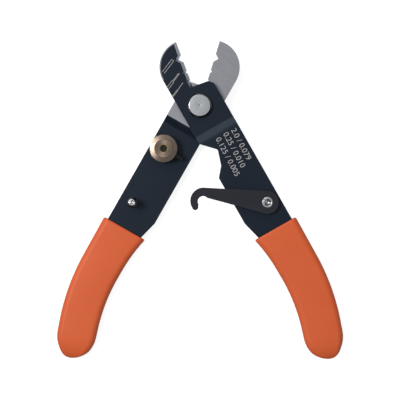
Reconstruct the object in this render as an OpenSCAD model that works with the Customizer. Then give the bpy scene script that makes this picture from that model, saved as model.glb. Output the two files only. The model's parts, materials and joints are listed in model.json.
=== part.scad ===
// Three-notch fibre stripper: two crossed levers stamped from steel strip, each stepped outward
// below the pivot, with ground stripping notches, dipped grips, a screw stop and a lock hook.
//
// The tool lies on its back: X to the right, Y towards the jaws, Z up. The origin is on the
// pivot's axis, at the nut's underside. The levers stand open, as the return spring leaves them.
//
// Both levers come from one blank. It is drawn with the cutting edge on the line x = 0 and the
// jaw at x < 0, in the place where the two cutting edges just meet. Along the handle a point is
// given by s, its distance from the pivot, and u, its distance from the handle's axis, outward.

/* [Lever plates] */
// Width of the steel strip
strip_w = 19; // [18:0.5:20]
// Thickness of the steel strip
plate_t = 2.4; // [2.2:0.1:2.6]
// Distance from the pivot's axis to the strip's inner edge
inner_off = 8.5; // [8.2:0.1:8.8]
// Lean of the handle against the cutting edge, in degrees
lean = 12.5; // [11.5:0.5:13]
// Outward step of each handle
joggle = 1.5; // [1.4:0.05:1.7]
// Angle of the step's slope, in degrees
joggle_angle = 26.5; // [25:0.5:28]
// Distance from the pivot at which the step starts on the face towards the other lever
joggle_start = 10; // [9.8:0.1:10.2]
// Distance from the pivot at which the step ends on the outer face
joggle_end = 15.6; // [15.4:0.1:15.8]
// Radii of the step's round bends on those two faces, and of its hollow bends
joggle_round = [3.2, 5];
joggle_hollow = 0.6; // [0.4:0.1:0.8]

/* [Jaws] */
// Radius of the jaw's rounded back
jaw_r = 12; // [11:0.25:13]
// Distance from the pivot to the jaw's tip
jaw_reach = 29.9; // [29:0.1:31]
// Distance from the pivot to the shoulder at the cutting edge's root
shoulder_y = 8.85; // [8.6:0.05:9.2]
// Radius of the shoulder's outer corner
shoulder_r = 3.75; // [2:0.25:4.5]
// Circles that the shut notches leave free, from tip to root
notch_hole = [1.4, 0.25, 0.125];
// Distances of the notches from the pivot
notch_at = [22.15, 15.85, 11.8];
// Tilt of the ground relief behind the cutting edge, in degrees
relief = 30; // [15:1:35]
// Angle by which the front lever's cutting edge is ground further back than the rear one's
front_setback = 3; // [0:0.5:4]

/* [Motion] */
// Angle of each lever away from the place where the cutting edges meet, in degrees
open_half = 17.2; // [15:0.1:19]
// Angle between the two handles when the stop is reached, as the stop screw is set
shut_handles = 21; // [20.8:0.1:21.2]
// Angle by which the cutting edges pass each other at the screw's working setting
overlap = 4; // [3.8:0.1:4.2]

/* [Pivot] */
// Diameter of the pivot bolt's shank
pivot_d = 6; // [5.5:0.1:6.5]
// Diameter and height of its round head
pivot_head = [10.8, 1.8];
// Diameter of the head's flat top
pivot_top_d = 9.3; // [8.8:0.1:9.8]
// Width across the flats of the pivot nut, and the diameter of its washer
nut_af = 10; // [9.5:0.5:10]
back_washer_d = 12.5; // [12:0.5:13.5]
// Radial clearance of a running fit
running = 0.03; // [0.02:0.01:0.05]
// Wire diameter and mean coil radius of the return spring
spring_wire = 0.8; // [0.7:0.05:0.9]
spring_r = 4; // [3.9:0.05:4.1]

/* [Hardware on the handles] */
// Place of the stop post along and across the handle
post_at = [24.25, 4.4];
// Diameters of the post's flange and of its raised boss
post_d = [12.1, 8.2];
// Diameters of the post's hub under the flange and of its shank through the plate
hub_d = 8.8; // [8.4:0.2:9]
post_shank_d = 4; // [3.8:0.1:4.2]
// Diameter of the set screw down the post's middle
lock_screw_d = 2.9; // [2.7:0.1:3]
// Width across the flats of the nut behind the post
post_nut_af = 7; // [6:0.5:7]
// Diameter of the stop screw
stop_d = 2.5; // [2.2:0.1:2.7]
// How far the stop screw's tip reaches from the post's axis
stop_reach = 9.5; // [9.3:0.1:9.6]
// Place of the latch stud on one lever and of the hook's rivet on the other
latch_at = [51.7, 4.7];
// Diameter of the latch stud
stud_d = 3.7; // [3.4:0.1:3.8]
// Diameter of the rivet's rolled rim
rivet_d = 4.8; // [4.6:0.1:5]
// Thickness of the lock hook
hook_t = 1.8; // [1.5:0.1:1.9]
// Radius of the eye round the rivet
eye_r = 5; // [4.8:0.1:5.2]
// Centre and outer radius of the hook's bend, along the hook and across it
bend_c = [-28, 0.7];
bend_out_r = 5.8; // [5.6:0.1:6]
// Centre and radius of the stud's seat inside the bend
seat_c = [-28.1, 0.35];
seat_r = 2.4; // [2.3:0.05:2.5]
// Centre and radius of the hook's round tip
tip_c = [-31.6, -2.05];
tip_r = 1.37; // [1.3:0.01:1.4]

/* [Grips] */
// Distance from the pivot to the grip's mouth
grip_start = 63.4; // [63:0.2:66]
// Thickness of the grip, across the plate
grip_t = 6.2; // [5.6:0.1:6.4]
// Half width of the grip near its mouth, at its middle and near its end
grip_half = [9.5, 9.25, 8.7];
// How far the mouth flares on the handle's inner side, and the length of that flare
mouth_flare = [1.8, 16];
// Distance from the pivot at which the grip starts to curve in
bend_start = 83; // [80:0.5:86]
// Radius of that curve
bend_r = 88; // [80:1:100]
// Angle of that curve, in degrees
bend_angle = 18; // [15:0.5:20]
// Straight run behind the curve, to the grip's tip
grip_tail = 15.35; // [14.5:0.05:16]
// How far the blunt tip leans outward
tip_lean = 1.2; // [0:0.1:1.4]

/* [Hidden] */
$fn = 48;
eps = 0.01;
// Height of the plane in which the two levers meet
mate_z = joggle + plate_t / 2 + grip_t / 2;
// Across the handle, the outer edge and the grip's middle line
outer_off = strip_w - inner_off;
grip_u = 2.9;
// Levels above the mating plane: top of the stepped handle, underside and top of the hook
handle_top = joggle + plate_t;
washer_t = 0.3;
hook_z = handle_top + washer_t;
// Distance from the pivot at which the strip's inner edge draws in towards the tang
draw_in = 55;
// Wall of vinyl round the tang, and play between them
vinyl = 1.85;
fit = 0.03;
// Depth of the spring's pocket in each lever, and the angle of the spring's leg hole
pocket_t = 1.15;
leg_angle = 200;
// Shanks of the stud and the rivet, and the hook's bore
rivet_shank_d = 2.6;
hook_bore = 3.4;
// Thicknesses of the washer under the pivot nut and of the nut on the stop post
back_washer_t = 0.8;
post_nut_t = 1.7;
// Heights above the rear handle's face: axis of the stop screw, underside of the post's flange
// and the post's top, which stays under the hook
stop_z = 3.2;
flange_z = stop_z + stop_d / 2 + 0.1;
post_top = joggle + hook_z - 0.15;

// --- Places -------------------------------------------------------------------------------

// A place on the handle, from s and u to the blank's x and y
function on_handle(s, u) =
    [s * sin(lean) + u * cos(lean), u * sin(lean) - s * cos(lean)];
// A place on the other lever's handle, seen from this one's when the tool is shut
function across(s, u) =
    let (r = norm([s, u]), a = shut_handles + atan2(u, s)) [r * cos(a), -r * sin(a)];

// The front lever's place, with the jaw to the left and the mating face down
module front_place() translate([0, 0, mate_z]) rotate([0, 0, open_half]) children();
// The rear lever's place: the same blank turned over
module rear_place()
    translate([0, 0, mate_z]) rotate([0, 0, -open_half]) rotate([0, 180, 0]) children();
// A frame on the handle, with X along it and Y outward
module at_handle(s, u, z = 0) {
    p = on_handle(s, u);
    translate([p[0], p[1], z]) rotate([0, 0, lean - 90]) children();
}

// --- Lever blank --------------------------------------------------------------------------

// Centre of the jaw's back: its circle runs into the strip's inner edge
jaw_cy = jaw_reach - jaw_r;
jaw_c = [(jaw_r - inner_off - jaw_cy * sin(lean)) / cos(lean), jaw_cy];

// A point of the grip's middle line at the distance d behind the mouth: s, u and its heading
function spine(d) =
    let (l1 = bend_start - grip_start, l2 = bend_r * bend_angle * PI / 180)
    d < l1 ? [grip_start + d, grip_u, 0]
    : let (a = min(d - l1, l2) / bend_r * 180 / PI, rest = max(0, d - l1 - l2))
      [bend_start + bend_r * sin(a) + rest * cos(a),
       grip_u - bend_r * (1 - cos(a)) - rest * sin(a), a];
grip_len = (bend_start - grip_start) + bend_r * bend_angle * PI / 180 + grip_tail;
// A point beside the middle line, w outward from it
function beside(d, w) = let (p = spine(d)) [p[0] + w * sin(p[2]), p[1] + w * cos(p[2])];

// Half width of the grip along its middle line, rounded off to a blunt point at its end
cap_len = 11;
function grip_w(d) =
    let (t = d / (grip_len - cap_len),
         w = t < 0.4 ? grip_half[0] + (grip_half[1] - grip_half[0]) * t / 0.4
                     : grip_half[1] + (grip_half[2] - grip_half[1]) * min(1, (t - 0.4) / 0.6),
         e = max(0, (d - grip_len + cap_len) / cap_len))
    w * pow(max(0, 1 - pow(e, 1.95)), 1 / 1.95);

// The tang: the narrowed end of the strip inside the grip, as a slab with some play round it
tang_end = grip_len - 5;
module tang(height, play = 0) {
    d0 = bend_start - grip_start - 8;
    steps = 14;
    half = grip_half[1] - vinyl;
    run = [for (i = [0 : steps]) d0 + (tang_end - half - d0) * i / steps];
    w = half + play;
    function place(d, w) = let (p = beside(d, w)) on_handle(p[0], p[1]);
    // curved stretch and its round end
    linear_extrude(height = height)
        polygon([for (d = run) place(d, w), for (i = [steps : -1 : 0]) place(run[i], -w)]);
    translate(place(tang_end - half, 0)) cylinder(h = height, r = w);
    // straight stretch from the mouth, with the inner edge drawn in
    linear_extrude(height = height)
        polygon([for (p = [[draw_in - 1, outer_off + play], [bend_start - 8, outer_off + play],
                           [bend_start - 7, grip_u + w], [bend_start - 7, grip_u - w],
                           [draw_in + 15.5, grip_u - w], [draw_in, -inner_off - play],
                           [draw_in - 1, -inner_off - play]])
                 on_handle(p[0], p[1])]);
}

// The corner of the strip's outer edge and the shoulder, moved inward from both by an inset
function shoulder_corner(inset, setback) =
    let (a = outer_off - inset, b = shoulder_y - inset)
    [a * cos(setback) - b * sin(lean), a * sin(setback) + b * cos(lean)] / cos(lean - setback);

// The strip with the jaw's round back and the shoulder's rounding, as a slab
module blank_slab(height, setback) {
    rc = shoulder_corner(shoulder_r, setback);
    beyond = shoulder_r + 1;
    top = jaw_cy * cos(lean) - jaw_c[0] * sin(lean);
    difference() {
        union() {
            translate(jaw_c) cylinder(h = height, r = jaw_r);
            linear_extrude(height = height)
                polygon([for (p = [[-top, -inner_off], [-top, outer_off],
                                   [draw_in, outer_off], [draw_in, -inner_off]])
                         on_handle(p[0], p[1])]);
            tang(height);
        }
        translate([0, 0, -1]) difference() {
            linear_extrude(height = height + 2)
                polygon([rc, rc + beyond * [-sin(setback), cos(setback)],
                         shoulder_corner(-1, setback), rc + beyond * [cos(lean), sin(lean)]]);
            translate(rc) cylinder(h = height + 2, r = shoulder_r);
        }
    }
}

// The strip seen from its edge: flat at the jaw, pressed outward by the joggle, flat along the
// handle. Each face has a round bend, a slope and a hollow bend.
module stepped_strip() {
    n = 8;
    // an arc of radius r about c, from angle a0 to a1
    function arc(c, r, a0, a1) =
        [for (i = [0 : n]) let (a = a0 + (a1 - a0) * i / n) c + r * [sin(a), cos(a)]];
    // how far the round and the hollow bend of a face, with the slope between them, reach
    function reach(r) = (r + joggle_hollow) * sin(joggle_angle)
        + (joggle - (r + joggle_hollow) * (1 - cos(joggle_angle))) / tan(joggle_angle);
    inner_end = joggle_start + reach(joggle_round[0]);
    outer_start = joggle_end - reach(joggle_round[1]);
    lower = concat(
        [[-40, 0]],
        arc([joggle_start, joggle_round[0]], joggle_round[0], 180, 180 - joggle_angle),
        arc([inner_end, joggle - joggle_hollow], joggle_hollow, -joggle_angle, 0),
        [[140, joggle]]);
    upper = concat(
        [[-40, plate_t]],
        arc([outer_start, plate_t + joggle_hollow], joggle_hollow, 180, 180 - joggle_angle),
        arc([joggle_end, handle_top - joggle_round[1]], joggle_round[1], -joggle_angle, 0),
        [[140, handle_top]]);
    rotate([0, 0, lean - 90]) rotate([90, 0, 0]) linear_extrude(height = 80, center = true)
        polygon(concat(lower, [for (i = [len(upper) - 1 : -1 : 0]) upper[i]]));
}

// Depth of each notch: half of the diamond that the shut pair leaves, and of their overlap
function notch_depth(i) = (notch_hole[i] * sqrt(2) + notch_at[i] * overlap * PI / 180) / 2;

// The grinding wheel's sweep: it leaves the cutting edge on x = 0 with three square notches,
// and leans back by the relief angle through the plate
module jaw_grinding(setback) {
    function notch(i) = let (y = notch_at[i], depth = notch_depth(i))
        [[0, y + depth], [-depth, y], [0, y - depth]];
    beyond = 1.5 * jaw_reach;
    profile = concat([[0, beyond]], notch(0), notch(1), notch(2),
                     [[0, shoulder_y], [beyond, shoulder_y], [beyond, beyond]]);
    rotate([0, 0, setback]) rotate([0, -relief, 0])
        linear_extrude(height = 70, center = true)
            polygon([for (p = profile) [p[0] * cos(relief), p[1]]]);
}

// Chamfer along the jaw's round back, on the face away from the other lever
module jaw_chamfer() {
    c = 0.55;
    translate([jaw_c[0], jaw_c[1], plate_t]) intersection() {
        rotate_extrude() polygon([[jaw_r - c - eps, eps], [jaw_r + 1, eps], [jaw_r + 1, -1 - c]]);
        linear_extrude(height = 8, center = true)
            polygon([[0, 0], 20 * [cos(95), sin(95)], [-20, 20],
                     20 * [cos(180 + lean), sin(180 + lean)]]);
    }
}

// What both levers share: stamped, stepped, ground, with the pocket of the return spring
module lever_blank(setback) {
    difference() {
        intersection() {
            translate([0, 0, -1]) blank_slab(8, setback);
            stepped_strip();
        }
        jaw_grinding(setback);
        jaw_chamfer();
        // spring pocket in the mating face, and the hole for the spring's leg
        translate([0, 0, -1]) cylinder(h = 1 + pocket_t, r = spring_r + spring_wire / 2 + 0.35);
        rotate([0, 0, leg_angle]) translate([spring_r, 0, 0])
            cylinder(h = plate_t - 0.4, d = spring_wire + 0.2);
        // common hole of the latch stud and the hook's rivet
        at_handle(latch_at[0], latch_at[1]) cylinder(h = 12, d = rivet_shank_d, center = true);
    }
}

// --- Rear half ----------------------------------------------------------------------------

module rear_lever() color([0.15, 0.17, 0.2]) rear_place() difference() {
    lever_blank(0);
    cylinder(h = 12, d = pivot_d, center = true);
    at_handle(post_at[0], post_at[1]) cylinder(h = 12, d = post_shank_d, center = true);
}

// Bolt: round head with a ground top, broad chamfer and a turning centre
module pivot_bolt() color([0.66, 0.66, 0.68]) difference() {
    head_z = mate_z + plate_t + washer_t;
    top = head_z + pivot_head[1];
    r = pivot_head[0] / 2;
    top_r = pivot_top_d / 2;
    shank = pivot_d / 2;
    end_chamfer = 0.3;
    rotate_extrude() polygon([
        [0, 0], [shank - end_chamfer, 0], [shank, end_chamfer], [shank, head_z], [r, head_z],
        [r, top - (r - top_r)], [top_r, top], [0, top]]);
    translate([0, 0, top - 0.25]) cylinder(h = 0.3, r1 = 0, r2 = 0.4);
}

module pivot_washer() color([0.55, 0.42, 0.3])
    translate([0, 0, mate_z + plate_t]) difference() {
        cylinder(h = washer_t, d = pivot_head[0]);
        translate([0, 0, -1]) cylinder(h = 2, d = pivot_d);
    }

// Hexagon nut with chamfered corners, on a plain washer
module pivot_nut() {
    h = mate_z - plate_t - back_washer_t;
    // the chamfer starts inside the flats and ends outside the corners
    start = 0.475 * nut_af;
    beyond = 0.59 * nut_af;
    color([0.3, 0.31, 0.33]) difference() {
        intersection() {
            cylinder(h = h, d = nut_af / cos(30), $fn = 6);
            rotate_extrude() polygon([[0, 0], [start, 0], [beyond, 0.66], [beyond, h], [0, h]]);
        }
        translate([0, 0, -1]) cylinder(h = h + 2, d = pivot_d);
    }
}

module back_washer() color([0.5, 0.5, 0.52])
    translate([0, 0, mate_z - plate_t - back_washer_t]) difference() {
        cylinder(h = back_washer_t, d = back_washer_d);
        translate([0, 0, -1]) cylinder(h = 3, d = pivot_d);
    }

// Return spring round the bolt, between the levers, with a leg into each of them
module return_spring() {
    rise = 2 * pocket_t - spring_wire - 0.1;
    n = 36;
    sides = 8;
    leg = 1.2;
    // from the rear lever's leg hole to the front lever's, one turn further
    a0 = 180 - leg_angle - open_half;
    a1 = leg_angle + open_half + 360;
    function on_coil(i) =
        let (a = a0 + (a1 - a0) * i / n)
        [spring_r * cos(a), spring_r * sin(a), mate_z - rise / 2 + rise * i / n];
    path = concat([on_coil(0) - [0, 0, leg]], [for (i = [0 : n]) on_coil(i)],
                  [on_coil(n) + [0, 0, leg]]);
    last = len(path) - 1;
    function heading(i) =
        let (d = path[min(last, i + 1)] - path[max(0, i - 1)]) d / norm(d);
    // the ring at a point of the path: its radial and its other cross direction
    function ring(i) =
        let (t = heading(i), r0 = [path[i][0], path[i][1], 0] / norm([path[i][0], path[i][1]]),
             b = cross(t, r0), bn = b / norm(b), r = cross(bn, t))
        [for (k = [0 : sides - 1]) let (a = 360 * k / sides)
            path[i] + spring_wire / 2 * (cos(a) * r + sin(a) * bn)];
    color([0.6, 0.6, 0.62]) polyhedron(
        points = [for (i = [0 : last]) each ring(i)],
        faces = concat([[for (k = [sides - 1 : -1 : 0]) k]],
                       [for (i = [0 : last - 1], k = [0 : sides - 1])
                           let (a = i * sides + k, b = i * sides + (k + 1) % sides)
                           [a, b, b + sides, a + sides]],
                       [[for (k = [0 : sides - 1]) last * sides + k]]));
}

// Stud that the lock hook catches: riveted shank, waist for the hook, domed head with a dimple
module latch_stud() color([0.72, 0.72, 0.74]) rear_place()
    at_handle(latch_at[0], latch_at[1]) rotate([180, 0, 0]) {
        // the stud stands on the handle's front face, and reaches just above the hook
        top = joggle + hook_z + hook_t + 0.7;
        r = stud_d / 2;
        foot = r + 0.4;
        shank = rivet_shank_d / 2;
        back = -plate_t;
        translate([0, 0, -joggle]) difference() {
            rotate_extrude() polygon([
                [0, back - 0.6], [shank + 0.5, back - 0.6], [shank + 0.9, back - 0.2],
                [shank + 0.9, back], [shank, back], [shank, 0], [foot, 0], [foot, 0.8],
                [r, 1.2], [r, top - 0.6], [r - 0.2, top - 0.25], [r - 0.6, top], [0, top]]);
            translate([0, 0, top - 0.9]) cylinder(h = 1, r1 = 0.35, r2 = 0.95);
        }
    }

// --- Front half ---------------------------------------------------------------------------

// Bite in the inner edge that clears the stop post, and its stop face square to the stop screw
module stop_bite() {
    // where the bite starts and ends along the handle
    start = 14.7;
    end = 31.9;
    tip = across(post_at[0], post_at[1] - stop_reach);
    gap = 0.06;
    // the face is square to the screw at its working setting
    slope = 2 * lean - front_setback - overlap;
    function face(ds) = [tip[0] + ds + gap * sin(slope),
                         tip[1] + gap * cos(slope) - ds * tan(slope)];
    near = face(-3.3);
    far = face(3.2);
    linear_extrude(height = 30, center = true)
        polygon([for (p = [[start, -inner_off - 1], [start, -inner_off], near - [0.8, 0.25],
                           near, far, [end, -inner_off], [end, -inner_off - 1]])
                 on_handle(p[0], p[1])]);
}

module front_lever() color([0.15, 0.17, 0.2]) front_place() difference() {
    lever_blank(front_setback);
    cylinder(h = 12, d = pivot_d + 2 * running, center = true);
    stop_bite();
}

module hook_washer() color([0.62, 0.6, 0.55]) front_place()
    at_handle(latch_at[0], latch_at[1], handle_top) difference() {
        cylinder(h = washer_t, d = 7);
        translate([0, 0, -1]) cylinder(h = 2, d = rivet_shank_d);
    }

// Semi-tubular rivet that the hook turns on: rolled rim in front, flat head at the back
module hook_rivet() color([0.78, 0.78, 0.8]) front_place()
    at_handle(latch_at[0], latch_at[1]) rotate_extrude() {
        shank = rivet_shank_d / 2;
        neck = hook_bore / 2 - running;
        back = joggle - 0.7;
        rim = rivet_d / 2;
        z1 = hook_z + hook_t + running;
        polygon([
            [0, back], [shank + 0.8, back], [shank + 1.2, back + 0.4], [shank + 1.2, joggle],
            [shank, joggle], [shank, hook_z], [neck, hook_z], [neck, z1],
            // rolled rim, and the tube's conical inside
            [rim, z1], [rim, z1 + 0.15], [rim - 0.25, z1 + 0.42], [rim - 0.55, z1 + 0.5],
            [rim - 0.9, z1 + 0.38], [rim - 1.35, z1 - 0.3], [rim - 1.5, z1 - 1.1], [0, z1 - 1.3]]);
    }

// --- Lock hook ----------------------------------------------------------------------------

// A tapering arm from the eye round the rivet to a hook round a seat for the stud
module hook_body() {
    // how far the arm's corners lie inside the rounds
    inset = 0.03;
    difference() {
        union() {
            cylinder(h = hook_t, r = eye_r);
            linear_extrude(height = hook_t)
                polygon([(eye_r - inset) * [cos(80), sin(80)],
                         bend_c + (bend_out_r - inset) * [cos(88), sin(88)], bend_c,
                         seat_c + (seat_r - 0.3) * [cos(60), sin(60)],
                         (eye_r - inset) * [cos(258), sin(258)]]);
            intersection() {
                translate(bend_c) cylinder(h = hook_t, r = bend_out_r);
                linear_extrude(height = hook_t)
                    polygon([[-27.5, 8], [-36, 8], tip_c + [-6, -0.6], tip_c, [-27.5, 0.5]]);
            }
            translate(tip_c) cylinder(h = hook_t, r = tip_r);
            // inner flank of the tip
            linear_extrude(height = hook_t)
                polygon([tip_c, tip_c + (tip_r - inset) * [cos(8), sin(8)],
                         seat_c + (seat_r - 0.3) * [-1, 0.1], [-32, 1]]);
        }
        translate([seat_c[0], seat_c[1], -1]) cylinder(h = hook_t + 2, r = seat_r);
        translate([0, 0, -1]) cylinder(h = hook_t + 2, d = hook_bore);
    }
}

module lock_hook() color([0.13, 0.12, 0.14]) front_place()
    at_handle(latch_at[0], latch_at[1], hook_z) rotate([0, 0, 90 - lean - open_half]) hook_body();

// --- Adjustable stop ----------------------------------------------------------------------

// Brass post: hub with a cross hole, coned flange, raised boss with a hexagon socket
module stop_post() color([0.68, 0.58, 0.46]) rear_place()
    at_handle(post_at[0], post_at[1]) rotate([180, 0, 0]) translate([0, 0, -joggle]) difference() {
        r = post_d[0] / 2;
        boss = post_d[1] / 2;
        hub = hub_d / 2;
        shank = post_shank_d / 2;
        back = -plate_t - post_nut_t;
        hole = lock_screw_d / 2;
        rotate_extrude() polygon([
            [0, back], [shank, back], [shank, 0], [hub, 0], [hub, flange_z], [r - 0.2, flange_z],
            [r, flange_z + 0.15], [r, flange_z + 0.3], [boss, post_top - 0.3],
            [boss, post_top - 0.1], [boss - 0.1, post_top], [0, post_top]]);
        translate([0, 0, stop_z]) rotate([90, 0, 0])
            cylinder(h = 30, d = stop_d + 2 * running, center = true);
        translate([0, 0, stop_z]) cylinder(h = 4, d = lock_screw_d);
        // chamfer at the hole's mouth
        translate([0, 0, post_top - 0.3]) cylinder(h = 0.4, r1 = hole, r2 = hole + 0.4);
    }

// Set screw down the post's middle: it locks the stop screw, and shows its hexagon socket
module lock_screw() color([0.1, 0.1, 0.11]) rear_place()
    at_handle(post_at[0], post_at[1]) rotate([180, 0, 0]) translate([0, 0, -joggle]) difference() {
        r = lock_screw_d / 2;
        foot = stop_z + stop_d / 2 + 0.05;
        head = post_top - 0.3;
        rotate_extrude()
            polygon([[0, foot], [r - 0.2, foot], [r, foot + 0.2], [r, head], [0, head]]);
        translate([0, 0, head - 0.5]) cylinder(h = 1, d = 1.5 / cos(30), $fn = 6);
    }

module post_nut() color([0.3, 0.31, 0.33]) rear_place()
    at_handle(post_at[0], post_at[1], handle_top) difference() {
        cylinder(h = post_nut_t, d = post_nut_af / cos(30), $fn = 6);
        translate([0, 0, -1]) cylinder(h = 5, d = post_shank_d);
    }

// Socket set screw across the post: its chamfered tip meets the front lever's stop face
module stop_screw() color([0.1, 0.1, 0.11]) rear_place()
    at_handle(post_at[0], post_at[1]) rotate([180, 0, 0]) translate([0, 0, stop_z - joggle])
        rotate([-90, 0, 0]) difference() {
            back = 3.6;
            r = stop_d / 2;
            translate([0, 0, -back]) rotate_extrude() polygon([
                [0, 0], [r - 0.25, 0], [r, 0.25], [r, back + stop_reach - 0.5],
                [r - 0.5, back + stop_reach], [0, back + stop_reach]]);
            translate([0, 0, -back - 1]) cylinder(h = 2.2, d = 1.3 / cos(30), $fn = 6);
        }

// --- Grips --------------------------------------------------------------------------------

// Dipped vinyl grip: rings of one rounded section lofted along the grip's middle line
module grip_body() {
    per_corner = 4;
    round_r = 2.7;
    // distances behind the mouth: a rolled lip, the long run, and a cap that closes by halves
    run = concat([0, 0.5, 1.2], [for (i = [1 : 13]) 1.2 + (grip_len - cap_len - 1.2) * i / 13],
                 [for (i = [1 : 9]) grip_len - cap_len * (1 - sin(90 * i / 9)) - (i == 9 ? 0.02 : 0)]);
    // the inner side flares at the mouth, and the lip is rounded
    function flare(d) = mouth_flare[0] * pow(max(0, 1 - d / mouth_flare[1]), 2);
    function shift(d) = tip_lean * pow(max(0, 1 - (grip_len - d) / 5), 2);
    function lip(d) = d < 0.1 ? -0.45 : d < 0.6 ? 0 : d < 1.3 ? 0.1 : 0;
    // the thickness closes only in the cap
    function thick(d) =
        let (e = max(0, (d - grip_len + cap_len) / cap_len))
        grip_t * pow(max(0, 1 - pow(e, 2.4)), 1 / 2);
    function section(d) =
        let (w = max(0.3, grip_w(d) + lip(d)), h = max(0.25, thick(d) / 2 + min(0, lip(d))),
             r = min(round_r, w * 0.9, h * 0.9))
        [for (q = [0 : 3], k = [0 : per_corner])
            let (a = 90 * q + 90 * k / per_corner,
                 cw = q == 0 || q == 3 ? w - r : r - w - flare(d),
                 ch = (q < 2 ? 1 : -1) * (h - r),
                 p = beside(d, cw + r * cos(a) + shift(d)), xy = on_handle(p[0], p[1]))
            [xy[0], xy[1], joggle + plate_t / 2 + ch + r * sin(a)]];
    m = 4 * (per_corner + 1);
    last = len(run) - 1;
    polyhedron(
        points = [for (d = run) each section(d)],
        faces = concat([[for (k = [m - 1 : -1 : 0]) k]],
                       [for (i = [0 : last - 1], k = [0 : m - 1])
                           let (a = i * m + k, b = i * m + (k + 1) % m)
                           each [[a, b, b + m], [a, b + m, a + m]]],
                       [[for (k = [0 : m - 1]) last * m + k]]));
}

module grip() difference() {
    grip_body();
    translate([0, 0, joggle - fit]) tang(plate_t + 2 * fit, fit);
}

module front_grip() color([0.8, 0.38, 0.22]) front_place() grip();
module rear_grip() color([0.8, 0.38, 0.22]) rear_place() grip();

// --- Assembly -----------------------------------------------------------------------------

rear_lever();
rear_grip();
pivot_bolt();
pivot_washer();
pivot_nut();
back_washer();
return_spring();
latch_stud();
stop_post();
post_nut();
lock_screw();
stop_screw();
front_lever();
front_grip();
hook_washer();
hook_rivet();
lock_hook();
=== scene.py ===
"""Looks of the three-notch fibre stripper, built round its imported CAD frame.

The levers, washers, nuts, stop post, lock screw and hook keep their CAD meshes and get their
finishes here. The dipped grips, the turned hardware and the stop screw's thread are remade as
finer meshes, and the etched cable marks and hole sizes on the front lever are added.
"""
import json
import math

import bmesh
import bpy
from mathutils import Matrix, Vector


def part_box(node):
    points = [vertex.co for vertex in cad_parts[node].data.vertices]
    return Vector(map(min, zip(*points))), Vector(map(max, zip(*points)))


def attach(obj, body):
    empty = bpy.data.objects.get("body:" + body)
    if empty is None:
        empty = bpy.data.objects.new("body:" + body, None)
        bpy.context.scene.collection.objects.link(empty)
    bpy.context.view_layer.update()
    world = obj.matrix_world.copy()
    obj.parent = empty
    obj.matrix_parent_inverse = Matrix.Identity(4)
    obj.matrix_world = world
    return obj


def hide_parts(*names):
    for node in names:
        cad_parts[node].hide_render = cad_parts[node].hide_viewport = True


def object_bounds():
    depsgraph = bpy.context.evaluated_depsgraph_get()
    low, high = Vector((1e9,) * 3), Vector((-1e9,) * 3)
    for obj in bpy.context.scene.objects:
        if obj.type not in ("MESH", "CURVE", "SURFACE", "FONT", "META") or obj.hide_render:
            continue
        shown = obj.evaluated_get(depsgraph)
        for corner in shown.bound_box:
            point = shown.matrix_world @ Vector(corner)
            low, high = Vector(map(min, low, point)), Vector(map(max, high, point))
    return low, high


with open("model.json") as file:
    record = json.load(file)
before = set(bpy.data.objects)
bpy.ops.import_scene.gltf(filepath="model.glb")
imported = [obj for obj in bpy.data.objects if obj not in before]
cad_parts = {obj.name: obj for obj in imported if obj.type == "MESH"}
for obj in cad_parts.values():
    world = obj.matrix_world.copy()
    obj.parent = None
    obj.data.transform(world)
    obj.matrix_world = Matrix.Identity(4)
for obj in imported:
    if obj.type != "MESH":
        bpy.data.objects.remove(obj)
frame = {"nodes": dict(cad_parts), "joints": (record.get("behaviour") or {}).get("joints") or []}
CAD_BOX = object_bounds()
NODES = frame["nodes"]
MM = 0.001

# --- Places taken from the frame ----------------------------------------------------------------

# Height of the plane in which the levers meet, and the handle's angle from the centre line
MATE_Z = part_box("front_lever")[0].z
HANDLE = math.radians(29.7)
# The levers' plate, and how far its step lifts the handle off the mating plane
PLATE = 2.4
STEP = 1.5
# Above the mating plane: the front lever's face at the jaw and at the handle
JAW_FACE = PLATE
HANDLE_FACE = STEP + PLATE
# Across the handle, the strip's inner and outer edge
STRIP_EDGES = (-8.5, 10.5)
JOINTS = {joint["name"]: joint for joint in frame["joints"]}
HOOK_AXIS = Vector(JOINTS["hook_pivot"]["pos_m"])
# Vertices nearer than this are one
WELD = 1e-7


def centre(node):
    """The middle of a node's box."""
    low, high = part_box(node)
    return (low + high) / 2


def on_handle(side, along, across, height):
    """A place on a handle, in metres: side is 1 for the front lever and -1 for the rear one."""
    x = along * math.sin(HANDLE) + across * math.cos(HANDLE)
    y = across * math.sin(HANDLE) - along * math.cos(HANDLE)
    return Vector((side * x * MM, y * MM, MATE_Z + side * height * MM))


# --- Camera, world, lamps and floor -------------------------------------------------------------

def make_camera():
    """Straight down on the tool, far enough off to show only a little perspective."""
    distance = 0.8
    field = 0.17601
    focus = Vector((0.00017, -0.04153, 0.007))
    data = bpy.data.cameras.new("camera")
    data.sensor_width = 36
    data.lens = data.sensor_width * distance / field
    camera = bpy.data.objects.new("camera", data)
    camera.location = focus + Vector((0, 0, distance))
    bpy.context.scene.collection.objects.link(camera)
    bpy.context.scene.camera = camera


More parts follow.
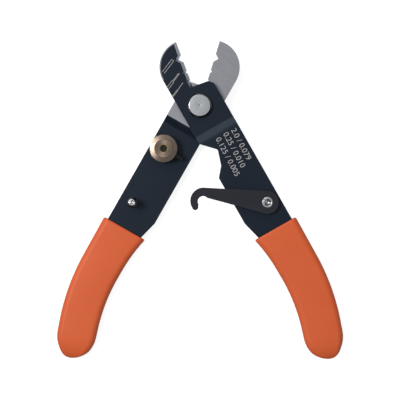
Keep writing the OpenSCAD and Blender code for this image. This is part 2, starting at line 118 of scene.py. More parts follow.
def make_world():
    """A grey studio, lighter overhead, which the camera sees as plain white."""
    world = bpy.data.worlds.new("studio")
    bpy.context.scene.world = world
    world.use_nodes = True
    tree = world.node_tree
    tree.nodes.clear()
    out = tree.nodes.new("ShaderNodeOutputWorld")
    mix = tree.nodes.new("ShaderNodeMixShader")
    path = tree.nodes.new("ShaderNodeLightPath")
    seen = tree.nodes.new("ShaderNodeBackground")
    light = tree.nodes.new("ShaderNodeBackground")
    seen.inputs["Color"].default_value = (1, 1, 1, 1)
    # lighter overhead and towards the tool's upper left, dimmer at the horizon
    place = tree.nodes.new("ShaderNodeTexCoord")
    lean = tree.nodes.new("ShaderNodeVectorMath")
    lean.operation = "DOT_PRODUCT"
    lean.inputs[1].default_value = Vector((-0.35, 0.45, 0.82)).normalized()
    ramp = tree.nodes.new("ShaderNodeValToRGB")
    elements = ramp.color_ramp.elements
    elements[0].position, elements[0].color = 0.0, (0.1, 0.1, 0.105, 1)
    elements[1].position, elements[1].color = 1.0, (0.56, 0.58, 0.6, 1)
    tree.links.new(place.outputs["Generated"], lean.inputs[0])
    tree.links.new(lean.outputs["Value"], ramp.inputs[0])
    tree.links.new(ramp.outputs[0], light.inputs["Color"])
    tree.links.new(path.outputs["Is Camera Ray"], mix.inputs[0])
    tree.links.new(light.outputs[0], mix.inputs[1])
    tree.links.new(seen.outputs[0], mix.inputs[2])
    tree.links.new(mix.outputs[0], out.inputs[0])


def area_lamp(name, place, size, watts, tint=(1, 1, 1)):
    """A square soft lamp aimed at the middle of the tool."""
    data = bpy.data.lights.new(name, "AREA")
    data.shape = "SQUARE"
    data.size = size
    data.energy = watts
    data.color = tint
    lamp = bpy.data.objects.new(name, data)
    lamp.location = Vector(place)
    aim = Vector((0, -0.04, 0)) - lamp.location
    lamp.rotation_euler = aim.to_track_quat("-Z", "Y").to_euler()
    bpy.context.scene.collection.objects.link(lamp)


def make_lamps():
    area_lamp("key_lamp", (-0.46, 0.08, 0.75), 0.26, 4.2)
    area_lamp("top_lamp", (-0.3, 0.62, 0.62), 0.4, 2.2)
    area_lamp("fill_lamp", (0.5, -0.35, 0.6), 0.5, 0.8)


def make_floor():
    """White to the camera and in reflections, with the tool's soft shadow left on it."""
    mesh = bpy.data.meshes.new("floor")
    half = 3
    mesh.from_pydata([(-half, -half, 0), (half, -half, 0), (half, half, 0), (-half, half, 0)],
                     [], [(0, 1, 2, 3)])
    floor = bpy.data.objects.new("floor", mesh)
    floor.location.z = CAD_BOX[0].z - 0.0002
    bpy.context.scene.collection.objects.link(floor)
    mat = bpy.data.materials.new("floor_white")
    mat.use_nodes = True
    tree = mat.node_tree
    tree.nodes.clear()
    out = tree.nodes.new("ShaderNodeOutputMaterial")
    add = tree.nodes.new("ShaderNodeAddShader")
    diffuse = tree.nodes.new("ShaderNodeBsdfDiffuse")
    glow = tree.nodes.new("ShaderNodeEmission")
    diffuse.inputs["Color"].default_value = (0.42, 0.42, 0.42, 1)
    # glows to the camera, and less in reflections
    path = tree.nodes.new("ShaderNodeLightPath")
    gloss = tree.nodes.new("ShaderNodeMath")
    gloss.operation = "MULTIPLY"
    gloss.inputs[1].default_value = 0.4
    strength = tree.nodes.new("ShaderNodeMath")
    strength.operation = "MULTIPLY_ADD"
    strength.inputs[1].default_value = 0.84
    tree.links.new(path.outputs["Is Glossy Ray"], gloss.inputs[0])
    tree.links.new(path.outputs["Is Camera Ray"], strength.inputs[0])
    tree.links.new(gloss.outputs[0], strength.inputs[2])
    tree.links.new(strength.outputs[0], glow.inputs["Strength"])
    tree.links.new(diffuse.outputs[0], add.inputs[0])
    tree.links.new(glow.outputs[0], add.inputs[1])
    tree.links.new(add.outputs[0], out.inputs[0])
    mesh.materials.append(mat)


# --- Materials ----------------------------------------------------------------------------------

class Shader:
    """A material with a Principled shader, and short calls for the nodes that feed it."""

    def __init__(self, name, **sockets):
        self.material = bpy.data.materials.new(name)
        self.material.use_nodes = True
        self.tree = self.material.node_tree
        self.bsdf = self.tree.nodes["Principled BSDF"]
        for key, value in sockets.items():
            self.bsdf.inputs[key.replace("_", " ")].default_value = value
        self.place = self.node("ShaderNodeTexCoord").outputs["Object"]

    def node(self, kind, **values):
        node = self.tree.nodes.new(kind)
        for key, value in values.items():
            setattr(node, key, value)
        return node

    def link(self, a, b):
        self.tree.links.new(a, b)

    def feed(self, socket, source):
        """A number goes on the socket itself and an output is linked to it."""
        if hasattr(source, "links"):
            self.link(source, socket)
        elif source is not None:
            socket.default_value = source

    def math(self, operation, a, b=None, c=None, clamp=False):
        node = self.node("ShaderNodeMath", operation=operation, use_clamp=clamp)
        for socket, source in zip(node.inputs, (a, b, c)):
            self.feed(socket, source)
        return node.outputs[0]

    def times(self, *factors):
        """The product of outputs and numbers."""
        product = factors[0]
        for factor in factors[1:]:
            product = self.math("MULTIPLY", product, factor)
        return product

    def stretch(self, place, scale, rotation=0):
        """Coordinates turned about Z by degrees and scaled."""
        node = self.node("ShaderNodeMapping", vector_type="TEXTURE")
        node.inputs["Rotation"].default_value = (0, 0, math.radians(rotation))
        node.inputs["Scale"].default_value = [1 / v for v in scale]
        self.link(place, node.inputs["Vector"])
        return node.outputs[0]

    def noise(self, scale, place=None, detail=3, roughness=0.5):
        node = self.node("ShaderNodeTexNoise")
        self.link(place or self.place, node.inputs["Vector"])
        node.inputs["Scale"].default_value = scale
        node.inputs["Detail"].default_value = detail
        node.inputs["Roughness"].default_value = roughness
        return node.outputs["Fac"]

    def step(self, source, low, high):
        """0 below low and 1 above high."""
        node = self.node("ShaderNodeMapRange", clamp=True)
        self.link(source, node.inputs["Value"])
        node.inputs["From Min"].default_value = low
        node.inputs["From Max"].default_value = high
        return node.outputs[0]

    def mix(self, factor, a, b):
        """Between two colours."""
        node = self.node("ShaderNodeMix", data_type="RGBA")
        self.feed(node.inputs[0], factor)
        for socket, source in ((node.inputs[6], a), (node.inputs[7], b)):
            self.feed(socket, (*source, 1) if isinstance(source, tuple) else source)
        return node.outputs[2]

    def blend(self, factor, a, b):
        """Between two numbers or outputs."""
        node = self.node("ShaderNodeMix", data_type="FLOAT")
        for socket, source in zip(node.inputs[:1] + node.inputs[2:4], (factor, a, b)):
            self.feed(socket, source)
        return node.outputs[0]

    def split(self, place=None):
        node = self.node("ShaderNodeSeparateXYZ")
        self.link(place or self.place, node.inputs[0])
        return node.outputs

    def bump(self, height, distance, strength=1.0, radius=0.0):
        """Bump of a height output, over edges rounded by radius."""
        node = self.node("ShaderNodeBump")
        node.inputs["Strength"].default_value = strength
        node.inputs["Distance"].default_value = distance
        self.link(height, node.inputs["Height"])
        if radius:
            self.link(self.bevel(radius), node.inputs["Normal"])
        self.link(node.outputs[0], self.bsdf.inputs["Normal"])

    def bevel(self, radius):
        node = self.node("ShaderNodeBevel", samples=6)
        node.inputs["Radius"].default_value = radius
        return node.outputs[0]

    def edges(self, radius, low=0.02, high=0.3):
        """1 on the sharp edges and 0 elsewhere."""
        dot = self.node("ShaderNodeVectorMath", operation="DOT_PRODUCT")
        self.link(self.bevel(radius), dot.inputs[0])
        self.link(self.node("ShaderNodeNewGeometry").outputs["Normal"], dot.inputs[1])
        return self.step(self.math("SUBTRACT", 1.0, dot.outputs["Value"]), low, high)

    def distance(self, point, flat=True):
        """Distance from a point, or from the vertical axis through it."""
        node = self.node("ShaderNodeVectorMath", operation="DISTANCE")
        place = self.place
        if flat:
            onto = self.node("ShaderNodeVectorMath", operation="MULTIPLY")
            self.link(place, onto.inputs[0])
            onto.inputs[1].default_value = (1, 1, 0)
            place = onto.outputs[0]
            point = Vector((point.x, point.y, 0))
        self.link(place, node.inputs[0])
        node.inputs[1].default_value = point
        return node.outputs["Value"]

    def rings(self, radius, per_metre=9000.0):
        """Noise that changes only with the distance from an axis."""
        node = self.node("ShaderNodeCombineXYZ")
        self.link(self.math("MULTIPLY", radius, per_metre), node.inputs[0])
        return self.noise(1.0, node.outputs[0], detail=4, roughness=0.7)


def tinted(base, factor):
    return tuple(min(1.0, factor * v) for v in base)


def dark_plate():
    """Satin black oxide over cold rolled steel, ground bright where the levers meet and strip."""
    s = Shader("black_oxide", IOR=1.5, Specular_IOR_Level=0.3)
    s.bsdf.inputs["Specular Tint"].default_value = (0.68, 0.85, 1.0, 1)
    x, y, z = s.split()
    normal = s.node("ShaderNodeTexCoord").outputs["Normal"]
    _, _, up = s.split(normal)
    tilt = s.math("ABSOLUTE", up)
    # the faces in the plane where the levers meet
    off_plane = s.math("ABSOLUTE", s.math("SUBTRACT", z, MATE_Z))
    on_plane = s.math("LESS_THAN", off_plane, 0.04 * MM)
    # the ground flanks of the notches and the chamfer round the jaw's back
    flank = s.times(s.math("GREATER_THAN", tilt, 0.12), s.math("LESS_THAN", tilt, 0.95),
                    s.math("GREATER_THAN", y, 7.5 * MM))
    ground = s.math("MAXIMUM", on_plane, flank)
    # edges rubbed bright at random, and a bright bare-steel patch on the edges all round the front
    # step's inner corner
    corner = on_handle(1, 13.4, STRIP_EDGES[0], HANDLE_FACE)
    bright_corner_patch = s.math("SUBTRACT", 1.0, s.step(s.distance(corner), 1.2 * MM, 2.6 * MM))
    edge = s.edges(0.14 * MM, 0.05, 0.25)
    rub = s.step(s.noise(900, detail=5), 0.42, 0.62)
    worn = s.times(edge, s.math("MAXIMUM", s.times(rub, 0.4), bright_corner_patch))
    grain = s.noise(2600, detail=6, roughness=0.6)
    cloud = s.noise(90, detail=3)
    oxide = s.mix(s.step(cloud, 0.3, 0.7), (0.0024, 0.0044, 0.0112), (0.004, 0.0064, 0.0142))
    lines = s.noise(60, s.stretch(s.place, (3, 160, 1), -30), detail=4, roughness=0.7)
    steel = s.mix(s.step(lines, 0.25, 0.75), (0.26, 0.26, 0.28), (0.4, 0.4, 0.425))
    colour = s.mix(ground, oxide, steel)
    colour = s.mix(worn, colour, (0.62, 0.62, 0.64))
    s.link(colour, s.bsdf.inputs["Base Color"])
    rough_oxide = s.blend(s.step(grain, 0.3, 0.7), 0.36, 0.46)
    s.link(s.blend(ground, rough_oxide, 0.36), s.bsdf.inputs["Roughness"])
    s.link(s.math("MAXIMUM", ground, worn), s.bsdf.inputs["Metallic"])
    relief = s.blend(ground, s.times(grain, 0.5), lines)
    s.bump(relief, 0.012 * MM, 0.5, radius=0.15 * MM)
    return s.material


def turned_steel(name, point, base=(0.5, 0.5, 0.51), roughness=0.32, rim=None, inside=None):
    """Turned steel with fine rings round an axis.

    Beyond the radius rim its polished chamfer is painted dark, a painted reflection, under a thin
    bright line that is a painted highlight, and inside the radius inside its bore is painted
    darker, painted shade.
    """
    s = Shader(name, Metallic=1.0, Roughness=roughness)
    radius = s.distance(point)
    rings = s.rings(radius)
    cloud = s.noise(500, detail=3)
    colour = s.mix(s.step(rings, 0.3, 0.7), tinted(base, 0.88), base)
    colour = s.mix(s.step(cloud, 0.35, 0.8), colour, tinted(base, 0.85))
    rough = s.blend(s.step(rings, 0.3, 0.7), roughness - 0.05, roughness + 0.08)
    if rim:
        # painted highlight: a thin bright line just inside the radius rim, and a painted dark
        # reflection on the chamfer beyond it
        line = s.step(radius, (rim - 0.18) * MM, (rim - 0.06) * MM)
        dark = s.step(radius, rim * MM, (rim + 0.12) * MM)
        colour = s.mix(line, colour, tinted(base, 1.5))
        colour = s.mix(dark, colour, tinted(base, 0.16))
        rough = s.blend(line, rough, 0.2)
    if inside:
        # painted shade: the bore inside the radius inside is painted half as bright
        colour = s.mix(s.step(radius, (inside - 0.1) * MM, inside * MM), tinted(base, 0.5), colour)
    s.link(colour, s.bsdf.inputs["Base Color"])
    s.link(rough, s.bsdf.inputs["Roughness"])
    s.bump(rings, 0.006 * MM, 0.4, radius=0.05 * MM)
    return s.material


def brass():
    """Turned brass: fine rings, a soft bow-tie sheen and a little tarnish."""
    s = Shader("turned_brass", Metallic=1.0, Roughness=0.3, Anisotropic=0.6)
    radius = s.distance(centre("stop_post"))
    rings = s.rings(radius)
    cloud = s.noise(420, detail=4)
    colour = s.mix(s.step(rings, 0.3, 0.7), (0.22, 0.165, 0.125), (0.3, 0.225, 0.175))
    colour = s.mix(s.step(cloud, 0.4, 0.75), colour, (0.2, 0.15, 0.115))
    # painted highlight: the chamfer at the hole's mouth is painted a brighter, yellower brass than
    # the rest
    mouth = s.math("LESS_THAN", radius, 2.05 * MM)
    colour = s.mix(s.times(mouth, 0.8), colour, (0.42, 0.29, 0.12))
    s.link(colour, s.bsdf.inputs["Base Color"])
    s.link(s.blend(s.step(cloud, 0.35, 0.8), 0.26, 0.38), s.bsdf.inputs["Roughness"])
    tangent = s.node("ShaderNodeTangent", direction_type="RADIAL", axis="Z")
    s.link(tangent.outputs[0], s.bsdf.inputs["Tangent"])
    s.bump(rings, 0.01 * MM, 0.5, radius=0.1 * MM)
    return s.material


def matte_black(name, base=(0.008, 0.0075, 0.009), roughness=0.5):
    """Matte black oxide of the hook and the screws."""
    s = Shader(name, IOR=1.5, Specular_IOR_Level=0.25)
    grain = s.noise(2200, detail=6, roughness=0.65)
    cloud = s.noise(160, detail=3)
    worn = s.times(s.edges(0.1 * MM, 0.06, 0.3), s.step(s.noise(1100, detail=5), 0.4, 0.65), 0.3)
    colour = s.mix(s.step(cloud, 0.3, 0.7), base, tinted(base, 1.35))
    colour = s.mix(worn, colour, (0.3, 0.3, 0.31))
    s.link(colour, s.bsdf.inputs["Base Color"])
    s.link(s.blend(s.step(grain, 0.3, 0.7), roughness - 0.06, roughness + 0.1),
           s.bsdf.inputs["Roughness"])
    s.bump(grain, 0.012 * MM, 0.4, radius=0.12 * MM)
    return s.material


def vinyl():
    """Dipped orange vinyl: even colour, a soft skin, faint orange peel and a few rubbed spots."""
    s = Shader("orange_vinyl", IOR=1.47, Specular_IOR_Level=0.35, Subsurface_Weight=0.05,
               Subsurface_Scale=0.0012)
    s.bsdf.inputs["Subsurface Radius"].default_value = (1.0, 0.35, 0.15)
    cloud = s.noise(45, detail=3)
    peel = s.noise(700, detail=2)
    dust = s.noise(3200, detail=5, roughness=0.7)
    colour = s.mix(s.step(cloud, 0.3, 0.7), (0.6, 0.096, 0.023), (0.64, 0.108, 0.028))
    colour = s.mix(s.times(s.step(dust, 0.62, 0.8), 0.25), colour, (0.5, 0.078, 0.02))
    s.link(colour, s.bsdf.inputs["Base Color"])
    s.link(s.blend(s.step(peel, 0.3, 0.7), 0.44, 0.54), s.bsdf.inputs["Roughness"])
    height = s.math("ADD", s.times(peel, 0.8), s.times(dust, 0.2))
    s.bump(height, 0.03 * MM, 0.35)
    return s.material


def etched():
    """Laser marks: pale grey, slightly uneven, dull."""
    s = Shader("etched_grey", IOR=1.45, Specular_IOR_Level=0.2)
    speck = s.noise(5200, detail=5, roughness=0.7)
    colour = s.mix(s.step(speck, 0.35, 0.65), (0.33, 0.315, 0.305), (0.5, 0.48, 0.465))
    s.link(colour, s.bsdf.inputs["Base Color"])
    s.link(s.blend(s.step(speck, 0.3, 0.7), 0.55, 0.75), s.bsdf.inputs["Roughness"])
    s.bump(speck, 0.004 * MM, 0.5)
    return s.material


# --- Mesh code ----------------------------------------------------------------------------------

def make_piece(name, mesh, material, body, node=None):
    """Puts a mesh into the scene as a piece that rides on a body."""
    mesh.materials.clear()
    mesh.materials.append(material)
    piece = bpy.data.objects.new(name, mesh)
    bpy.context.scene.collection.objects.link(piece)
    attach(piece, body)
    if node:
        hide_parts(node)
    return piece


def lofted(name, rings, smooth_angle=40):
    """A closed mesh through rings of the same number of points, with both ends filled."""
    bm = bmesh.new()
    rows = [[bm.verts.new(point) for point in ring] for ring in rings]
    count = len(rows[0])
    for a, b in zip(rows, rows[1:]):
        for i in range(count):
            j = (i + 1) % count
            bm.faces.new((a[i], a[j], b[j], b[i]))
    bm.faces.new(list(reversed(rows[0])))
    bm.faces.new(rows[-1])
    return finished(name, bm, smooth_angle)


def finished(name, bm, smooth_angle=40):
    """A mesh with its faces turned outward and its rounds smooth."""
    bmesh.ops.recalc_face_normals(bm, faces=bm.faces)
    limit = math.radians(smooth_angle)
    for face in bm.faces:
        face.smooth = True
    for edge in bm.edges:
        edge.smooth = len(edge.link_faces) == 2 and edge.calc_face_angle(0) < limit
    mesh = bpy.data.meshes.new(name)
    bm.to_mesh(mesh)
    bm.free()
    return mesh


def circle(radius, count, turn=0.0):
    return [(radius * math.cos(turn + 2 * math.pi * i / count),
             radius * math.sin(turn + 2 * math.pi * i / count)) for i in range(count)]


def hexagon(flats, count):
    """Points round a hexagon of a width across its flats, count of them, a multiple of six."""
    points = []
    for i in range(count):
        angle = 2 * math.pi * i / count
        off = (angle + math.pi / 6) % (math.pi / 3) - math.pi / 6
        reach = flats / 2 / math.cos(off)
        points.append((reach * math.cos(angle), reach * math.sin(angle)))
    return points


def eased(profile, radius, steps=4):
    """A profile with its inner corners rounded; its two ends stay."""
    points = [Vector(p) for p in profile]
    out = [points[0]]
    for before, corner, after in zip(points, points[1:], points[2:]):
        a, b = before - corner, after - corner
        turn = math.pi - a.angle(b)
        if turn < 0.1:
            out.append(corner)
            continue
        reach = min(radius * math.tan(turn / 2), 0.42 * a.length, 0.42 * b.length)
        start, end = corner + a.normalized() * reach, corner + b.normalized() * reach
        for i in range(steps + 1):
            t = i / steps
            out.append(start * (1 - t) ** 2 + corner * 2 * t * (1 - t) + end * t ** 2)
    out.append(points[-1])
    return out


def turned(name, profile, axis, up=1, radius=0.08, count=96):
    """A part turned from a profile of (radius, height) in mm, about a vertical axis."""
    rings = []
    for r, h in eased(profile, radius):
        r = max(r, 0.001)
        rings.append([(axis.x + p[0] * MM, axis.y + p[1] * MM, axis.z + up * h * MM)
                      for p in circle(r, count)])
    return lofted(name, rings, 35)


# --- Grips --------------------------------------------------------------------------------------

GRIP_START = 63.4
GRIP_MIDDLE = 2.9
GRIP_THICK = 6.2
GRIP_HALF = (9.5, 9.25, 8.7)
MOUTH_FLARE = (1.8, 16)
BEND_START = 83
BEND_R = 88
BEND_ANGLE = math.radians(18)
GRIP_TAIL = 15.35
TIP_LEAN = 1.2
CAP = 11
# How round the tip is, across and through its thickness
TIP_POWER = 1.95
TIP_THICK_POWER = 2.4
# How far back from the tip the lean begins
TIP_LEAN_RUN = 5
# The mouth's rolled lip, and the largest round of the grip's edges
LIP = 0.55
GRIP_ROUND = 2.75
# How far the skin's flanks stay inside the CAD grip
SKIN_SHY = 0.03
STRAIGHT = BEND_START - GRIP_START
GRIP_LEN = STRAIGHT + BEND_R * BEND_ANGLE + GRIP_TAIL


def spine(d):
    """The grip's middle line d behind the mouth: along, across and heading."""
    if d < STRAIGHT:
        return GRIP_START + d, GRIP_MIDDLE, 0.0
    a = min(d - STRAIGHT, BEND_R * BEND_ANGLE) / BEND_R
    rest = max(0.0, d - STRAIGHT - BEND_R * BEND_ANGLE)
    return (BEND_START + BEND_R * math.sin(a) + rest * math.cos(a),
            GRIP_MIDDLE - BEND_R * (1 - math.cos(a)) - rest * math.sin(a), a)


def grip_section(side, d):
    """One ring of the grip: a rounded section with a flat back and front."""
    t = d / (GRIP_LEN - CAP)
    if t < 0.4:
        half = GRIP_HALF[0] + (GRIP_HALF[1] - GRIP_HALF[0]) * t / 0.4
    else:
        half = GRIP_HALF[1] + (GRIP_HALF[2] - GRIP_HALF[1]) * min(1, (t - 0.4) / 0.6)
    e = max(0, (d - GRIP_LEN + CAP) / CAP)
    half *= max(0, 1 - e ** TIP_POWER) ** (1 / TIP_POWER)
    thick = GRIP_THICK / 2 * math.sqrt(max(0, 1 - e ** TIP_THICK_POWER))
    flare = MOUTH_FLARE[0] * max(0, 1 - d / MOUTH_FLARE[1]) ** 2
    shift = TIP_LEAN * max(0, 1 - (GRIP_LEN - d) / TIP_LEAN_RUN) ** 2
    # a rolled lip at the mouth: a rounded edge
    lip = -LIP * max(0, 1 - d / LIP) ** 2
    half, thick = max(0.3, half + lip - SKIN_SHY), max(0.25, thick + lip - 0.05)
    round_r = min(GRIP_ROUND, 0.92 * half, 0.92 * thick)
    ring = []
    per_corner = 10
    heading = spine(d)
    for q in range(4):
        for k in range(per_corner + 1):
            a = math.pi / 2 * (q + k / per_corner)
            w = half - round_r if q in (0, 3) else round_r - half - flare
            h = (thick - round_r) * (1 if q < 2 else -1)
            w, h = w + round_r * math.cos(a) + shift, h + round_r * math.sin(a)
            ring.append((w, h))
    points = []
    for w, h in ring:
        along = heading[0] + w * math.sin(heading[2])
        across = heading[1] + w * math.cos(heading[2])
        points.append(on_handle(side, along, across, STEP + PLATE / 2 + h))
    return points


def grip_mesh(name, side, lever):
    """The whole grip, with the pocket that its lever fills."""
    runs = [0, 0.06, 0.15, 0.3, 0.55, 1.0]
    runs += [1.0 + (GRIP_LEN - CAP - 1.0) * i / 40 for i in range(1, 41)]
    runs += [GRIP_LEN - CAP * (1 - math.sin(math.pi / 2 * i / 22)) for i in range(1, 22)]
    runs.append(GRIP_LEN - 0.01)
    mesh = lofted(name, [grip_section(side, d) for d in runs], 60)
    return carved(name, mesh, NODES[lever])


def carved(name, mesh, cutter):
    """The mesh with the cutter's solid taken out of it."""
    scene = bpy.context.scene.collection
    solid = cutter.data.copy()
    bm = bmesh.new()
    bm.from_mesh(solid)
    bmesh.ops.remove_doubles(bm, verts=bm.verts, dist=WELD)
    bm.to_mesh(solid)
    bm.free()
    tool = bpy.data.objects.new(name + "_tool", solid)
    blank = bpy.data.objects.new(name + "_blank", mesh)
    scene.objects.link(tool)
    scene.objects.link(blank)
    cut = blank.modifiers.new("cut", "BOOLEAN")
    cut.operation = "DIFFERENCE"
    cut.solver = "EXACT"
    cut.object = tool
    view = bpy.context.evaluated_depsgraph_get()
    result = bpy.data.meshes.new_from_object(blank.evaluated_get(view))
    for thing in (tool, blank):
        bpy.data.objects.remove(thing)
    bm = bmesh.new()
    bm.from_mesh(result)
    bpy.data.meshes.remove(result)
    return finished(name, bm, 50)


# --- Turned hardware ----------------------------------------------------------------------------

WASHER = 0.3
HOOK_THICK = 1.8
HOOK_Z = STEP + PLATE + WASHER


def make_hardware():
    """Pivot bolt, hook rivet and latch stud, with their corners eased."""
    # painted highlight and painted dark reflection round the bolt head's chamfer, beyond 4.6 mm
    ground = turned_steel("bolt_steel", Vector((0, 0, 0)), (0.41, 0.42, 0.435), 0.42, rim=4.6)
    mate = MATE_Z / MM
    head = mate + PLATE + WASHER
    top = head + 1.8
    bolt = [(0, 0), (2.7, 0), (3, 0.3), (3, head), (5.4, head), (5.4, top - 0.75),
            (4.98, top - 0.3), (4.65, top), (0.4, top), (0.05, top - 0.22), (0, top - 0.24)]
    mesh = turned("pivot_bolt_turned", bolt, Vector((0, 0, 0)), radius=0.3)
    make_piece("pivot_bolt_turned", mesh, ground, "rear_half", "pivot_bolt")

    # painted shade in the rivet's bore, inside 1.5 mm
    bright = turned_steel("rivet_steel", HOOK_AXIS, (0.7, 0.7, 0.71), 0.24, inside=1.5)
    foot = Vector((HOOK_AXIS.x, HOOK_AXIS.y, MATE_Z))
    z1 = HOOK_Z + HOOK_THICK + 0.03
    rivet = [(0, 0.8), (2.1, 0.8), (2.5, 1.2), (2.5, STEP), (1.3, STEP), (1.3, HOOK_Z),
             (1.67, HOOK_Z), (1.67, z1), (2.4, z1), (2.4, z1 + 0.28), (2.1, z1 + 0.5),
             (1.7, z1 + 0.5), (1.45, z1 + 0.2), (1.05, z1 - 0.5), (0.9, z1 - 1.1), (0, z1 - 1.3)]
    mesh = turned("hook_rivet_turned", rivet, foot, radius=0.16)
    make_piece("hook_rivet_turned", mesh, bright, "front_half", "hook_rivet")

    place = centre("latch_stud")
    foot = Vector((place.x, place.y, MATE_Z))
    stud_top = STEP + HOOK_Z + HOOK_THICK + 0.7
    low = -STEP
    # painted highlight and painted dark reflection round the stud's top, beyond 1.3 mm
    steel = turned_steel("stud_steel", foot, (0.6, 0.6, 0.61), 0.26, rim=1.3)
    stud = [(0, low - PLATE - 0.6), (1.8, low - PLATE - 0.6), (2.2, low - PLATE - 0.2),
            (2.2, low - PLATE), (1.3, low - PLATE), (1.3, low), (2.25, low), (2.25, low + 0.8),
            (1.85, low + 1.2), (1.85, low + stud_top - 0.6), (1.65, low + stud_top - 0.25),
            (1.25, low + stud_top), (0.95, low + stud_top), (0.35, low + stud_top - 0.85),
            (0, low + stud_top - 0.9)]
    mesh = turned("latch_stud_turned", stud, foot, radius=0.2)
    make_piece("latch_stud_turned", mesh, steel, "rear_half", "latch_stud")


def make_stop_screw(material):
    """The stop screw with its thread, chamfered ends and hexagon socket."""
    radius = 1.25
    pitch = 0.45
    count = 24
    back = -3.6
    tip = 9.5
    socket_flats = 1.3
    socket_depth = 1.2
    thread_depth = 0.24
    back_chamfer = 0.32
    tip_chamfer = 0.55
    low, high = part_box("stop_screw")
    height = (low.z + high.z) / 2
    rings = []
    axis = Vector(JOINTS["stop_adjust"]["axis"]).normalized()
    inward = -axis
    side = inward.cross(Vector((0, 0, 1))).normalized()
    middle = Vector((centre("stop_post").x, centre("stop_post").y, height))

    def place(along, p):
        return middle + (inward * along + side * p[0] + Vector((0, 0, 1)) * p[1]) * MM

    socket = hexagon(socket_flats, count)
    rings.append([place(back + socket_depth, p) for p in socket])
    rings.append([place(back + 0.05, p) for p in socket])
    rings.append([place(back, (1.06 * p[0], 1.06 * p[1])) for p in socket])
    steps = int((tip - back) / pitch * 8)
    for i in range(steps + 1):
        along = back + (tip - back) * i / steps
        limit = min(radius, radius - back_chamfer + (along - back),
                    radius - tip_chamfer + (tip - along))
        ring = []
        for k, (c, s) in enumerate(circle(1.0, count)):
            phase = (along / pitch - k / count) % 1.0
            groove = max(0.0, 1 - abs(phase - 0.5) / 0.38) * thread_depth
            r = min(radius - groove, limit)
            ring.append(place(along, (r * c, r * s)))
        rings.append(ring)
    mesh = lofted("stop_screw_thread", rings, 50)
    make_piece("stop_screw_thread", mesh, material, "stop", "stop_screw")


# --- Etched marks -------------------------------------------------------------------------------

# How far the marks stand over and reach under the face they are on
MARK_PROUD = 0.012
MARK_SUNK = -0.01

def add_stroke(bm, a, b, width, level):
    """A thin flat bar from a to b, both in mm, standing just proud of the face at level."""
    a, b = Vector(a), Vector(b)
    along = (b - a).normalized()
    side = Vector((-along.y, along.x)) * width / 2
    lower, upper = [], []
    for p in (a - side, b - side, b + side, a + side):
        lower.append(bm.verts.new((p.x * MM, p.y * MM, MATE_Z + (level + MARK_SUNK) * MM)))
        upper.append(bm.verts.new((p.x * MM, p.y * MM, MATE_Z + (level + MARK_PROUD) * MM)))
    bm.faces.new(list(reversed(lower)))
    bm.faces.new(upper)
    for i in range(4):
        j = (i + 1) % 4
        bm.faces.new((lower[i], lower[j], upper[j], upper[i]))


def add_bar(bm, start, end, width, line, level, hatch=0.0, ends=(True, True)):
    """The outline of a bar round the line from start to end, hatched at a pitch where given."""
    start, end = Vector(start), Vector(end)
    along = (end - start).normalized()
    side = Vector((-along.y, along.x)) * (width - line) / 2
    for sign in (-1, 1):
        add_stroke(bm, start + sign * side, end + sign * side, line, level)
    for point, closed in ((start + along * line / 2, ends[0]), (end - along * line / 2, ends[1])):
        if closed:
            add_stroke(bm, point - side, point + side, line, level)
    if hatch:
        length = (end - start).length
        slant = along * width * 0.5
        for i in range(1, int(length / hatch)):
            point = start + along * i * hatch
            add_stroke(bm, point - side - slant / 2, point + side + slant / 2, 0.7 * line, level)


def make_cable_marks(material):
    """Beside each notch a cable with its layers stripped back, etched on the front jaw."""
    bm = bmesh.new()
    line = 0.2
    # beside the first notch: the jacket, a plain bar
    add_bar(bm, (-11.75, 20.0), (-16.0, 14.4), 1.3, line, JAW_FACE, ends=(True, False))
    # beside the second: the coated fibre, then the jacket's end
    add_bar(bm, (-9.0, 14.1), (-11.5, 10.9), 0.62, line, JAW_FACE, 0.4)
    add_bar(bm, (-11.6, 10.75), (-14.3, 7.2), 1.2, line, JAW_FACE, ends=(True, False))
    # beside the third: the bare fibre, then its coating
    add_stroke(bm, (-7.35, 10.0), (-9.65, 6.75), 0.22, JAW_FACE)
    add_bar(bm, (-9.7, 6.7), (-12.1, 3.65), 0.62, line, JAW_FACE, 0.4, ends=(True, False))
    mesh = finished("cable_marks", bm)
    make_piece("cable_marks", mesh, material, "front_half")


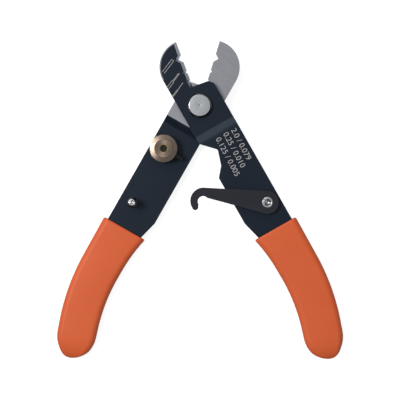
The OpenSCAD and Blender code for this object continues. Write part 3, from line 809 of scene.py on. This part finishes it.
def make_size_numbers(material):
    """The three hole sizes along the handle, in millimetres and in inches."""
    rows = (("2.0 / 0.079", 16.25, 6.5), ("0.25 / 0.010", 16.05, 2.65),
            ("0.125 / 0.005", 16.4, -1.3))
    cap_height = 2.45
    slope = math.radians(1.9)
    whole = bmesh.new()
    for text, along, across in rows:
        curve = bpy.data.curves.new("row", "FONT")
        curve.body = text
        curve.size = 1
        curve.extrude = 0.5
        curve.resolution_u = 4
        curve.offset = -0.008
        row = bpy.data.objects.new("row", curve)
        bpy.context.scene.collection.objects.link(row)
        view = bpy.context.evaluated_depsgraph_get()
        mesh = bpy.data.meshes.new_from_object(row.evaluated_get(view))
        bpy.data.objects.remove(row)
        high = max(v.co.y for v in mesh.vertices)
        left = min(v.co.x for v in mesh.vertices)
        scale = cap_height / high
        for v in mesh.vertices:
            x, y = (v.co.x - left) * scale, v.co.y * scale
            s = along + x * math.cos(slope) + y * math.sin(slope)
            u = across - x * math.sin(slope) + y * math.cos(slope)
            v.co = on_handle(1, s, u, HANDLE_FACE + (MARK_PROUD if v.co.z > 0 else MARK_SUNK))
        whole.from_mesh(mesh)
        bpy.data.meshes.remove(mesh)
    bmesh.ops.remove_doubles(whole, verts=whole.verts, dist=WELD)
    mesh = finished("size_numbers", whole)
    make_piece("size_numbers", mesh, material, "front_half")


def dress(node, material):
    """Puts a material on a CAD node's slots."""
    mesh = NODES[node].data
    if not mesh.materials:
        mesh.materials.append(material)
    for i in range(len(mesh.materials)):
        mesh.materials[i] = material


# --- Build --------------------------------------------------------------------------------------

make_camera()
make_world()
make_lamps()
make_floor()

plate = dark_plate()
black = matte_black("black_hardware", (0.006, 0.006, 0.0068), 0.36)
bronze = turned_steel("washer_bronze", Vector((0, 0, 0)), (0.3, 0.2, 0.12))
dress("front_lever", plate)
dress("rear_lever", plate)
dress("lock_hook", matte_black("hook_black", (0.0095, 0.0098, 0.015)))
dress("stop_post", brass())
for name in ("lock_screw", "post_nut", "pivot_nut"):
    dress(name, black)
dress("back_washer", turned_steel("back_washer_steel", Vector((0, 0, 0))))
dress("pivot_washer", bronze)
dress("hook_washer", turned_steel("hook_washer_steel", HOOK_AXIS, (0.6, 0.6, 0.6)))
dress("return_spring", turned_steel("spring_steel", Vector((0, 0, 0)), (0.4, 0.4, 0.42)))

orange = vinyl()
make_piece("front_grip_skin", grip_mesh("front_grip_skin", 1, "front_lever"), orange,
           "front_half", "front_grip")
make_piece("rear_grip_skin", grip_mesh("rear_grip_skin", -1, "rear_lever"), orange,
           "rear_half", "rear_grip")
make_hardware()
make_stop_screw(black)
pale = etched()
make_cable_marks(pale)
make_size_numbers(pale)

bpy.context.scene.view_settings.view_transform = "Standard"
